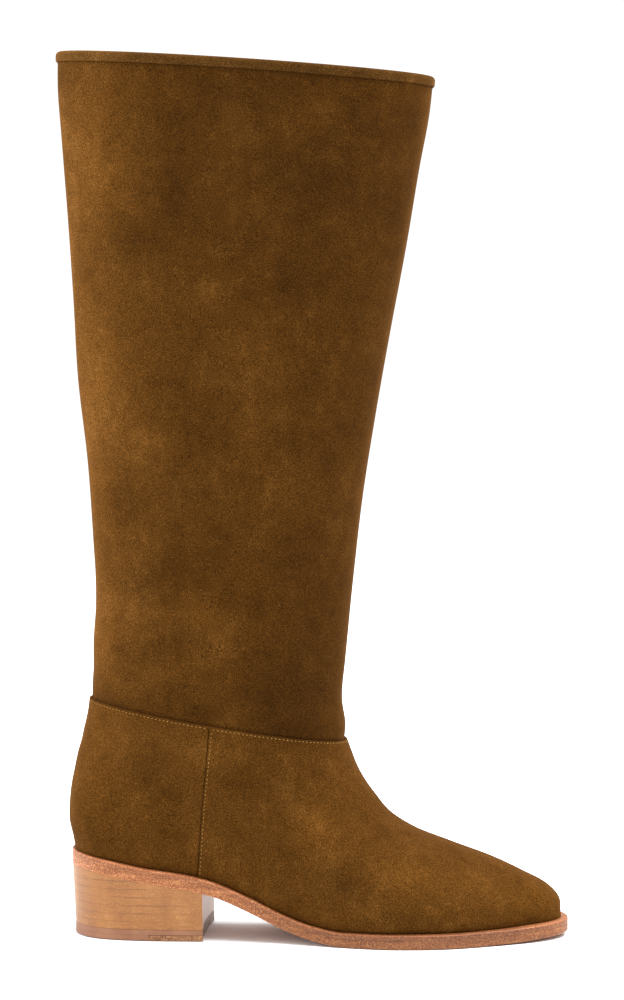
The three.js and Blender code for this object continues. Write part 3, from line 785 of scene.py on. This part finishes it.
# The heel's and the lift's breasts are paled and greyed: painted reflection of the white surroundings, seen
# at a grazing angle
BREAST_PAINTED_REFLECTION = smooth_leather("breast", srgb(206, 184, 170), srgb(220, 200, 186), 0.5, grain=0)
LIFT_BREAST_PAINTED_REFLECTION = smooth_leather("lift_breast", srgb(134, 110, 98), srgb(166, 140, 126), 0.6, grain=0)
LIFT = plain_rubber("lift_rubber")
INSERT = cut_leather("insert_leather", srgb(78, 44, 20), srgb(128, 84, 50), srgb(176, 130, 90), 0.6, 1300)
CREAM = thread("cream_thread", srgb(158, 120, 66))
BROWN = thread("brown_thread", srgb(62, 38, 13))


def seat(piece, slot, *nodes):
    """Puts a finished piece on the boot's one body."""
    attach(piece, "root")
    if nodes:
        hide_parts(*nodes)


# Upper: the suede outside above the ankle seam, and the lining inside

UPPER_COLUMNS = 240
FOOT_ROWS = 3  # rows of points from one level of the foot to the next
SHAFT_ROWS = 9


def upper_offset(t, c, distance):
    points = smooth_surface(t, c)
    return points + surface_normals(t, c) * (distance - crease_depth(points)[..., None])


def make_upper():
    columns = np.arange(UPPER_COLUMNS) * 4 / UPPER_COLUMNS
    foot = np.linspace(0, ANKLE, FOOT_ROWS * ANKLE + 1)[:-1]
    shaft = np.linspace(ANKLE, COLLAR, SHAFT_ROWS * (COLLAR - ANKLE) + 1)
    t, c = np.meshgrid(np.concatenate([foot, shaft]), columns, indexing="ij")
    outside = upper_offset(t, c, 0)
    inside = upper_offset(t, c, -UPPER_WALL)
    above = np.linalg.norm(outside - smooth_surface(np.full_like(t, float(ANKLE)), c), axis=-1)
    tone = nap_and_painted_light(outside) - SEAM_SHADE * edge_shade(above - OVERLAY_THICKNESS)
    tone = np.concatenate([tone, tone[::-1]])
    piece = ring("upper_shaft", outside, inside, [SUEDE, LINING], 50, inside_material=1, tone=tone)
    seat(piece, "suede", "upper")


# Vamp and counter: thin panels with rounded edges, drawn down where the stitches pull

SEAM_SHADE = 0.4  # how much darker the suede is where it meets another piece, in doublings
SHADE_REACH = 0.6
PANEL_FADE = 1.6  # how much faster that shade fades on a panel than beside it
FOOT_TONE = 0.3  # how much lighter the vamp and counter are than the shaft
STITCH_INSET = 1.2
STITCH_TROUGH = 0.16
TROUGH_REACH = 0.45
EDGE_ROUND = 0.55
EDGE_LEFT = 0.25  # share of a panel's thickness that is left at its very edge
LAP_REACH = 5
EDGE_STEPS = np.array([0, 0.06, 0.16, 0.32, 0.55, 0.9, 1.2, 1.5, 1.8, 2.1, 2.6, 3.4, 4.6])
PANEL_ROWS = 90

# Speeds near an edge are read this many levels under it, or this many columns past a side seam
PROBE_DROP = 0.06
PROBE_ASIDE = 0.03


def speeds(t, c):
    """How far the surface moves, in millimetres, for one step of level and one step of column."""
    step_t, step_c = 0.05, 0.01
    up = smooth_surface(t, c) - smooth_surface(t - step_t, c)
    along = smooth_surface(t, c + step_c) - smooth_surface(t, c - step_c)
    return np.linalg.norm(up, axis=-1) / step_t, np.linalg.norm(along, axis=-1) / (2 * step_c)


def edge_profile(distance):
    """Share of the panel's thickness at a distance in from its edge."""
    inner = np.clip(1 - distance / EDGE_ROUND, 0, 1)
    return EDGE_LEFT + (1 - EDGE_LEFT) * np.sqrt(1 - inner * inner)


def edge_shade(distance):
    return np.exp(-((np.clip(distance, 0, None) / SHADE_REACH) ** 2))


def stitch_pull(distance):
    return STITCH_TROUGH * np.exp(-(((distance - STITCH_INSET) / TROUGH_REACH) ** 2))


def lap_rise(distance, lap=SEAM_LAP):
    """How far a panel stands up near the side seam where it laps another."""
    return lap * np.exp(-((distance / LAP_REACH) ** 2))


def panel_grid(c_start, c_end, plain_columns):
    """Levels and columns of a panel from one side seam to the other, crowded towards its edges.

    Returns levels, columns, the distance from the top edge and the distance from the nearer seam.
    """
    plain_rows = np.linspace(0, 1, PANEL_ROWS)[:-1]
    ease = (np.arange(plain_columns) + 1) / (plain_columns + 1)
    c, seam = [], []
    for level in [*(plain_rows * ANKLE), *np.full(len(EDGE_STEPS), float(ANKLE))]:
        here = np.full((1, 1), min(level, ANKLE - PROBE_DROP))
        speed = speeds(here, np.full((1, 1), c_start + PROBE_ASIDE))[1][0, 0]
        start = c_start + EDGE_STEPS / speed
        end = c_end - EDGE_STEPS[::-1] / speed
        row = np.concatenate([start, lerp(start[-1], end[0], ease), end])
        c.append(row)
        seam.append(np.minimum(row - c_start, c_end - row) * speed)
    top_row = np.mod(c[-1], 4)[None]
    up_speed, _ = speeds(np.full_like(top_row, ANKLE), top_row)
    plain_top = ANKLE - EDGE_STEPS[-1] / up_speed
    t = np.concatenate([plain_rows[:, None] * plain_top, ANKLE - EDGE_STEPS[::-1, None] / up_speed])
    return t, np.array(c), (ANKLE - t) * up_speed, np.array(seam)


def make_panel(name, node, c_start, c_end, plain_columns, lap):
    t, c, top, seam = panel_grid(c_start, c_end, plain_columns)
    wrapped = np.mod(c, 4)
    points = smooth_surface(t, wrapped)
    normals = surface_normals(t, wrapped)
    depth = crease_depth(points)
    thick = OVERLAY_THICKNESS * np.minimum(edge_profile(top), edge_profile(seam))
    pull = stitch_pull(top) + (stitch_pull(seam) if lap else 0)
    outer = GAP + thick + lap_rise(seam, lap) - pull - depth
    inner = GAP - depth
    outside = points + normals * outer[..., None]
    inside = points + normals * inner[..., None]
    foot = np.linalg.norm(points - points[:1], axis=-1)
    # Painted shade along the panel's top edge and side seams, and where it meets the welt
    cut = edge_shade(PANEL_FADE * np.minimum(top, seam)) + edge_shade(foot)
    if not lap:
        cut += edge_shade(seam)
    tone = nap_and_painted_light(points) + FOOT_TONE - SEAM_SHADE * np.clip(cut, 0, 1)
    piece = panel(name, outside, inside, [SUEDE], tone=np.concatenate([tone, tone[::-1]]))
    seat(piece, "suede", node)


# Collar: a band folded over the top edge

FOLD_HEIGHT = 2.4  # how far the round top of the binding's fold reaches down
FOLD_STEPS = 9
BAND_ROUND = 0.6
BAND_STEPS = 6


def make_collar():
    step = 0.2
    columns = np.arange(UPPER_COLUMNS)[None] * 4 / UPPER_COLUMNS
    full = np.full((1, UPPER_COLUMNS), float(COLLAR))
    top = smooth_surface(full, columns)[0]
    normal = surface_normals(full, columns)[0]
    along = unit(top - smooth_surface(full - step, columns)[0])
    half = UPPER_WALL / 2 + GAP + BINDING_THICKNESS
    rise = GAP + BINDING_THICKNESS
    middle = -UPPER_WALL / 2

    def row(offset, up):
        return top + along * up + normal * offset

    def profile(side):
        """Rows of one face: a rounded lower edge, then the fold's round shoulder."""
        rows = []
        for i in range(BAND_STEPS + 1):
            a = math.pi / 2 * i / BAND_STEPS
            offset = half - BAND_ROUND * (1 - math.sin(a))
            rows.append(row(middle + side * offset, BAND_ROUND * (1 - math.cos(a)) - BINDING_HEIGHT))
        for i in range(FOLD_STEPS):
            a = math.pi / 2 * i / FOLD_STEPS
            rows.append(row(middle + side * half * math.cos(a), rise - FOLD_HEIGHT * (1 - math.sin(a))))
        return rows

    clear = GAP * 0.2
    back = -UPPER_WALL - clear
    outside = np.array([row(clear, -BINDING_HEIGHT), *profile(1), row(middle, rise)])
    inside = np.array([row(clear, clear), row(back, clear), row(back, -BINDING_HEIGHT), *profile(-1)])
    tone = nap_and_painted_light(np.concatenate([outside, inside[::-1]]))
    piece = ring("collar_band", outside, inside, [BAND_SUEDE], 50, tone=tone)
    seat(piece, "suede_edge", "collar_binding")


# Sole pieces

SOLE_ROUND = 0.9
WELT_ROUND = 0.8
INSOLE_ROUND = 1.2
INSOLE_FOOT_ROUND = 0.3
CRISP_ROUND = 0.1
SOLE_PLAY = 0.02  # how far the outsole and welt stay from the middle of the gap between them
WALL_SHARES = (0.3, 0.5, 0.7)
FLUSH_BEHIND = 2  # over the heel the outsole's edge is flush, up to here behind the breast
ROUND_AHEAD = 6

# Tones of the sole's edge, with painted highlights along its rounded lower edge and along the welt's top
# edge: share of the way up from its underside to the welt's top, doublings
EDGE_TONES_AND_HIGHLIGHTS = [
    (0, 0.45),
    (0.06, 0.35),
    (0.13, 0),
    (0.5, 0.05),
    (0.62, -0.1),
    (0.85, -0.2),
    (0.9, 0.1),
    (0.97, 0.55),
    (1, 0.3),
]

# Painted light and shade along the sole's edge, lighter towards the back where light falls on it: x from
# its back edge in millimetres, doublings
LENGTH_PAINTED_LIGHT = [
    (0, 0.75),
    (15, 0.5),
    (90, 0.4),
    (150, -0.2),
    (230, -0.25),
    (260, 0.1),
]


def raised_loop(inset, base, lift):
    """A sole loop at a height above a curve of x."""
    return sole_loop(inset, lambda x: base(x) + lift)


def plate_loop(inset, base, lift):
    """The same, but over the heel it stays flush with the heel block."""
    flush, drawn_in = raised_loop(0, base, lift), raised_loop(inset, base, lift)
    ahead = smoothstep(flush[:, :1], HEEL_LENGTH - FLUSH_BEHIND, HEEL_LENGTH + ROUND_AHEAD)
    return lerp(flush, drawn_in, ahead)


def edge_tone_and_light(loops):
    """The tone and painted light at points of the sole's edge, from their height in it and their place
    along it.
    """
    rows = np.asarray(loops)
    x = rows[..., 0]
    low = sole_underside(x)
    share = (rows[..., 2] - low) / (welt_top(x) - low)
    return np.interp(x, *zip(*LENGTH_PAINTED_LIGHT)) + np.interp(share, *zip(*EDGE_TONES_AND_HIGHLIGHTS))


def make_sole():
    half_gap = GAP / 2 - SOLE_PLAY

    def joint_low(x):
        return outsole_top(x) + half_gap

    def joint_high(x):
        return outsole_top(x) + GAP - half_gap

    plate = rounded(plate_loop, 0, sole_underside, joint_low, SOLE_ROUND, CRISP_ROUND, WALL_SHARES)
    seat(stack("outsole_plate", plate, [SOLE_EDGE], tone=edge_tone_and_light(plate)), "sole_leather", "outsole")
    inner = FEATHER_INSET + UPPER_WALL
    wall = rounded(raised_loop, 0, joint_high, welt_top, CRISP_ROUND, WELT_ROUND, WALL_SHARES)
    flat = [sole_loop(inner, welt_top), sole_loop(inner, joint_high)]
    tone = edge_tone_and_light(wall + flat)
    strip = ring("welt_strip", np.array(wall), np.array(flat[::-1]), [WELT_EDGE], tone=tone)
    seat(strip, "welt_leather", "welt")

    def board_low(x):
        return outsole_top(x) + GAP

    def board_high(x):
        return welt_top(x) + INSOLE_RISE

    board = rounded(raised_loop, inner + GAP, board_low, board_high, INSOLE_FOOT_ROUND, INSOLE_ROUND)
    seat(stack("insole_sock", board, [SOCK]), "sock_leather", "insole")


# Heel

HEEL_COLUMNS = 90
HEEL_ROWS = 5
BREAST_COLUMNS = 10
BREAST_MARGIN = 6  # side columns by the breast that one end face takes in
BLOCK_PLAY = 0.06  # how far the block stays from the lift and the sole
LIFT_SPLIT = INSERT_THICKNESS + 0.2  # height where the lift's upper layer starts
INSERT_PLAY = 0.12
SLAB_BEVEL = 0.1


def heel_loop(inset, height_at, x_from=None, x_to=None):
    """A loop round the heel: the sole's outline from back to breast, or a part of it cut straight."""
    length = SOLE_LENGTH - 2 * inset
    front = HEEL_LENGTH if x_to is None else x_to
    first = 0 if x_from is None else angle_at((x_from - inset) / length)
    last = angle_at((front - inset) / length)
    at = share_at(np.linspace(first, last, HEEL_COLUMNS + 1))
    side_x = inset + length * at
    side_y = sole_half_width(at, -np.ones_like(at), inset)
    across = 1 - np.arange(1, BREAST_COLUMNS + 1) / BREAST_COLUMNS
    hollow = BREAST_HOLLOW if x_to is None else 0
    x = np.concatenate([side_x, front - hollow * (1 - across * across)])
    y = np.concatenate([side_y, side_y[-1] * across])
    if x_from is not None:
        x = np.concatenate([np.full(BREAST_COLUMNS, x_from), x])
        y = np.concatenate([side_y[0] * across[::-1], y])
    x = np.concatenate([x, x[1:-1][::-1]])
    y = np.concatenate([-y, y[1:-1][::-1]])
    return np.stack([x, y, height_at(x)], -1)


def heel_stack(name, loops, materials, sharp=40, cut_back=False):
    """A solid of loops round the heel, with the second material across the breast."""
    columns = len(loops[0])
    first = BREAST_COLUMNS if cut_back else 0
    breast = range(first + HEEL_COLUMNS, first + HEEL_COLUMNS + 2 * BREAST_COLUMNS)
    sides = [1 if c in breast else 0 for _ in loops[1:] for c in range(columns)]
    straight = (first + 1 if cut_back else 0, first + HEEL_COLUMNS - BREAST_MARGIN)
    return stack(name, loops, materials, sharp, sides, straight=straight)


def make_heel():
    loops = []
    for share in np.linspace(0, 1, HEEL_ROWS):
        def height(x, s=share):
            return lerp(LIFT_THICKNESS + BLOCK_PLAY, sole_underside(x) - BLOCK_PLAY, s)
        loops.append(heel_loop(lerp(HEEL_TAPER, 0, share), height))
    seat(heel_stack("heel_stack", loops, [HEEL, BREAST_PAINTED_REFLECTION]), "heel_wood", "heel_block")


def make_slab(name, material, low, high, edge, **cut):
    """A flat layer of the lift with a rounded lower edge and a small upper bevel."""
    loops = []
    rows = [(low, edge), (low + edge * 0.3, edge * 0.3), (low + edge, 0), (low + edge * 1.3, 0)]
    rows += [(high - 2 * SLAB_BEVEL, 0), (high - SLAB_BEVEL, 0), (high, SLAB_BEVEL)]
    for height, inset in rows:
        loops.append(heel_loop(HEEL_TAPER + inset, lambda x, h=height: np.full_like(x, h), **cut))
    return heel_stack(name, loops, [material, LIFT_BREAST_PAINTED_REFLECTION], 25, "x_from" in cut)


def make_lift():
    layer = make_slab("heel_lift_layer", LIFT, LIFT_SPLIT, LIFT_THICKNESS, edge=0.1)
    seat(layer, "lift_rubber", "heel_lift")
    rear = make_slab("heel_lift_rear", LIFT, 0, LIFT_SPLIT, edge=0.5, x_to=INSERT_START)
    seat(rear, "lift_rubber")
    start = INSERT_START + INSERT_PLAY
    insert = make_slab("heel_leather", INSERT, 0, INSERT_THICKNESS, edge=0.3, x_from=start)
    seat(insert, "insert_leather", "heel_insert")


# Stitches

THREAD_SIDES = 6
THREAD_RINGS = 5
THREAD_TIP = 0.25  # share of the radius that is left at a stitch's ends
THREAD_DIVE = 0.35  # how far its ends dive, in radii

STITCH_PITCH = 2.2
STITCH_LENGTH = 1.05
STITCH_RADIUS = 0.19
COUNTER_ROW_END = 0.985  # column where the counter's top row stops
SEAM_ROW_START = 0.3  # level where the rows up the side seams start
SEAM_ROW_DROP = 0.2  # levels that they stop short of the top
ANKLE_SAMPLES = 900
SEAM_SAMPLES = 400

BAND_STITCH_PITCH = 1.9
BAND_STITCH_LENGTH = 1.5
BAND_STITCH_RADIUS = 0.2
BAND_STITCH_DROP = 0.45  # below the binding's lower edge
BAND_STITCH_RISE = 0.05  # out of the suede
BAND_SAMPLES = 1400


def capsules(name, lines, length, radius, material):
    """Short round-ended threads laid on a surface, as one mesh."""
    around = quads(THREAD_RINGS, THREAD_SIDES, False, True)
    verts, faces = [], []
    for centre, direction, up in zip(*lines):
        across = np.cross(up, direction)
        start = len(verts)
        for share in np.linspace(-1, 1, THREAD_RINGS):
            swell = lerp(THREAD_TIP, 1, math.sqrt(1 - share * share))
            sink = -THREAD_DIVE * radius * share * share
            middle = centre + direction * share * length / 2 + up * sink
            for j in range(THREAD_SIDES):
                a = 2 * math.pi * j / THREAD_SIDES
                verts.append(middle + radius * swell * (math.cos(a) * across + math.sin(a) * up))
        faces += [tuple(start + corner for corner in face) for face in around]
        faces.append(tuple(start + j for j in reversed(range(THREAD_SIDES))))
        faces.append(tuple(start + (THREAD_RINGS - 1) * THREAD_SIDES + j for j in range(THREAD_SIDES)))
    seat(make_mesh(name, np.array(verts), faces, [material], 60), "suede")


def along_line(t, c, pitch, offset):
    """Evenly spaced points, directions and outward normals along a line on the upper's surface."""
    step = 0.2
    points = smooth_surface(t, np.mod(c, 4))[0]
    normals = surface_normals(t, np.mod(c, 4))[0]
    points = points + normals * (offset - crease_depth(points))[:, None]
    steps = np.linalg.norm(np.diff(points, axis=0), axis=-1)
    run = np.concatenate([[0], np.cumsum(steps)])
    count = int(run[-1] / pitch)
    places = (np.arange(count) + 0.5) * run[-1] / count

    def read(values, at):
        return np.stack([np.interp(at, run, values[:, k]) for k in range(3)], -1)

    directions = unit(read(points, places + step) - read(points, places - step))
    ups = read(normals, places)
    ups -= (ups * directions).sum(-1, keepdims=True) * directions
    return read(points, places), directions, unit(ups)


def ankle_line(c_low, c_high):
    """Levels and columns of the stitch row under the ankle seam."""
    c = np.linspace(c_low, c_high, ANKLE_SAMPLES)[None]
    up_speed, _ = speeds(np.full_like(c, ANKLE), c)
    return ANKLE - STITCH_INSET / up_speed, c


def seam_columns(levels, side):
    """Columns of the stitch row beside a side seam, on the vamp."""
    away = 1 if side == 1 else -1
    probe = np.full_like(levels, side + PROBE_ASIDE * away)
    _, speed = speeds(np.minimum(levels, ANKLE - PROBE_DROP), probe)
    return side + away * STITCH_INSET / speed


def make_stitches():
    rows = []
    surface = GAP + OVERLAY_THICKNESS - STITCH_TROUGH + STITCH_RADIUS * 0.5
    t, c = ankle_line(-COUNTER_ROW_END, COUNTER_ROW_END)
    rows.append(along_line(t, c, STITCH_PITCH, surface))
    vamp_ends = [seam_columns(np.full((1, 1), float(ANKLE)), side)[0, 0] for side in (1, 3)]
    t, c = ankle_line(*vamp_ends)
    from_seam = np.minimum(c - 1, 3 - c) * speeds(t, c)[1]
    rows.append(along_line(t, c, STITCH_PITCH, surface + lap_rise(from_seam)[0]))
    for side in (1, 3):
        levels = np.linspace(SEAM_ROW_START, ANKLE - SEAM_ROW_DROP, SEAM_SAMPLES)[None]
        beside = seam_columns(levels, side)
        rows.append(along_line(levels, beside, STITCH_PITCH, surface + lap_rise(STITCH_INSET)))
    lines = [np.concatenate(parts) for parts in zip(*rows)]
    capsules("seam_stitches", lines, STITCH_LENGTH, STITCH_RADIUS, CREAM)

    aside = 0.02
    columns = np.linspace(0, 4, BAND_SAMPLES)[None]
    inside = np.clip(columns, aside, 4 - aside)
    up_speed, _ = speeds(np.full_like(columns, COLLAR - PROBE_DROP), inside)
    levels = COLLAR - (BINDING_HEIGHT + BAND_STITCH_DROP) / up_speed
    lines = along_line(levels, columns, BAND_STITCH_PITCH, BAND_STITCH_RISE)
    capsules("collar_stitches", lines, BAND_STITCH_LENGTH, BAND_STITCH_RADIUS, BROWN)


# Floor, light and camera

FLOOR_SIZE = 8
FLOOR_DROP = 0.0003  # keeps the floor just under the sole
WORLD_STRENGTH = 1.1
LIGHT_TARGET = Vector((0, 0, 0.22))

# Soft lights: name, place, width in metres, power in watts
LIGHTS = [
    ("side", (-2.2, 0.0, 0.6), 1.4, 40),
    ("top", (0.7, -0.2, 2.2), 2.2, 120),
]


def make_studio():
    scene = bpy.context.scene
    mesh = bpy.data.meshes.new("floor")
    corners = [(-1, -1), (1, -1), (1, 1), (-1, 1)]
    points = [(x * FLOOR_SIZE, y * FLOOR_SIZE, -FLOOR_DROP) for x, y in corners]
    mesh.from_pydata(points, [], [(0, 1, 2, 3)])
    floor = bpy.data.objects.new("floor", mesh)
    scene.collection.objects.link(floor)
    paint = Shader("floor_paint", 0.9, specular=0.1)
    paint.surface.inputs["Base Color"].default_value = (0.93, 0.945, 0.96, 1)
    mesh.materials.append(paint.material)

    world = bpy.data.worlds.new("studio")
    world.use_nodes = True
    backdrop = world.node_tree.nodes["Background"].inputs
    backdrop["Color"].default_value = (1, 1, 1, 1)
    backdrop["Strength"].default_value = WORLD_STRENGTH
    scene.world = world
    scene.view_settings.view_transform = "Standard"

    for name, place, width, power in LIGHTS:
        lamp = bpy.data.lights.new(name, "AREA")
        lamp.size = width
        lamp.energy = power
        holder = bpy.data.objects.new(name, lamp)
        holder.location = place
        aim = LIGHT_TARGET - Vector(place)
        holder.rotation_euler = aim.to_track_quat("-Z", "Y").to_euler()
        scene.collection.objects.link(holder)


CAMERA_AZIMUTH = math.radians(4.4)
CAMERA_PITCH = math.radians(3.7)
CAMERA_DISTANCE = 1.7
CAMERA_TARGET = Vector((-0.0005, 0, 0.233))
FOCAL_PIXELS = 3188
PHOTO_HEIGHT = 1000
SENSOR = 36


def make_camera():
    data = bpy.data.cameras.new("camera")
    data.sensor_width = SENSOR
    data.lens = FOCAL_PIXELS / PHOTO_HEIGHT * SENSOR
    camera = bpy.data.objects.new("camera", data)
    level = math.cos(CAMERA_PITCH)
    x, y = math.sin(CAMERA_AZIMUTH) * level, -math.cos(CAMERA_AZIMUTH) * level
    back = Vector((x, y, math.sin(CAMERA_PITCH)))
    camera.location = CAMERA_TARGET + back * CAMERA_DISTANCE
    camera.rotation_euler = (-back).to_track_quat("-Z", "Y").to_euler()
    bpy.context.scene.collection.objects.link(camera)
    bpy.context.scene.camera = camera


make_camera()
make_upper()
make_panel("vamp_panel", "vamp", c_start=1, c_end=3, plain_columns=150, lap=SEAM_LAP)
make_panel("counter_panel", "counter", c_start=-1, c_end=1, plain_columns=100, lap=0)
make_collar()
make_sole()
make_heel()
make_lift()
make_stitches()
make_studio()
